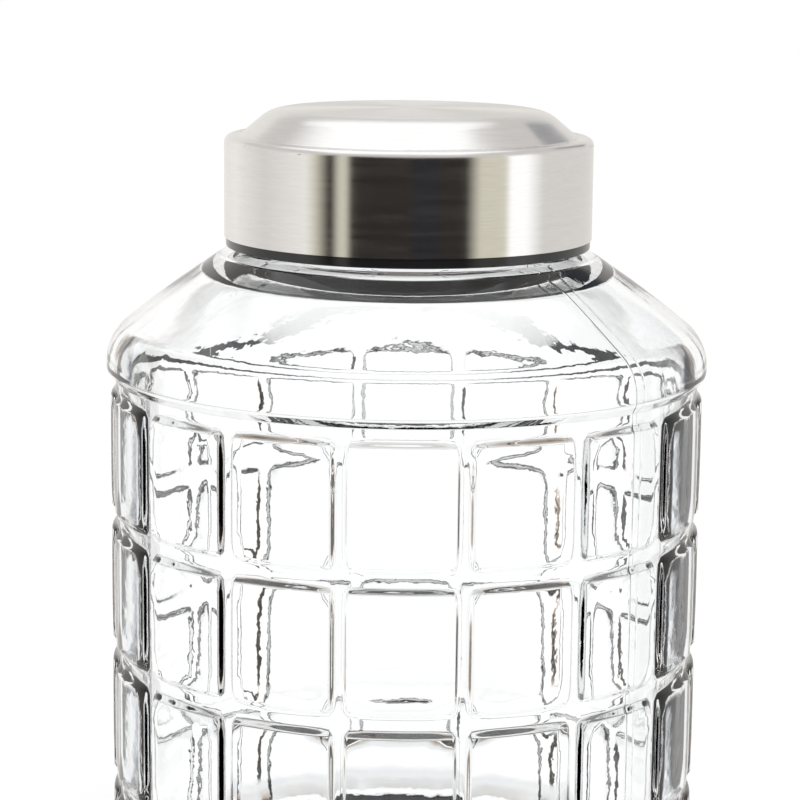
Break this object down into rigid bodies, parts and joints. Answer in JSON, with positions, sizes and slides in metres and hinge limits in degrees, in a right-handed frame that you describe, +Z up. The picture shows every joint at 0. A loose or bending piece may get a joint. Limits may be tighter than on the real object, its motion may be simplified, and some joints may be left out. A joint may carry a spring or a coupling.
{
  "type": "glass storage jar",
  "caption": "Clear glass storage jar with a window-pane grid of raised panes, a sloping shoulder, and a stepped brushed steel lid on a black plastic liner.",
  "frame": {"origin": "centre of the standing ring, on the surface that the jar stands on", "axes": "+Z up along the jar's axis, towards the lid; -Y towards the viewer"},
  "size_m": [0.1618, 0.1618, 0.2333],
  "materials": {
    "glass": "clear, polished",
    "steel": "fine brushing round the axis",
    "black_plastic": "gloss"
  },
  "bodies": {
    "root": {"jar": "glass", "liner": "black_plastic", "lid_shell": "steel"}
  },
  "joints": []
}
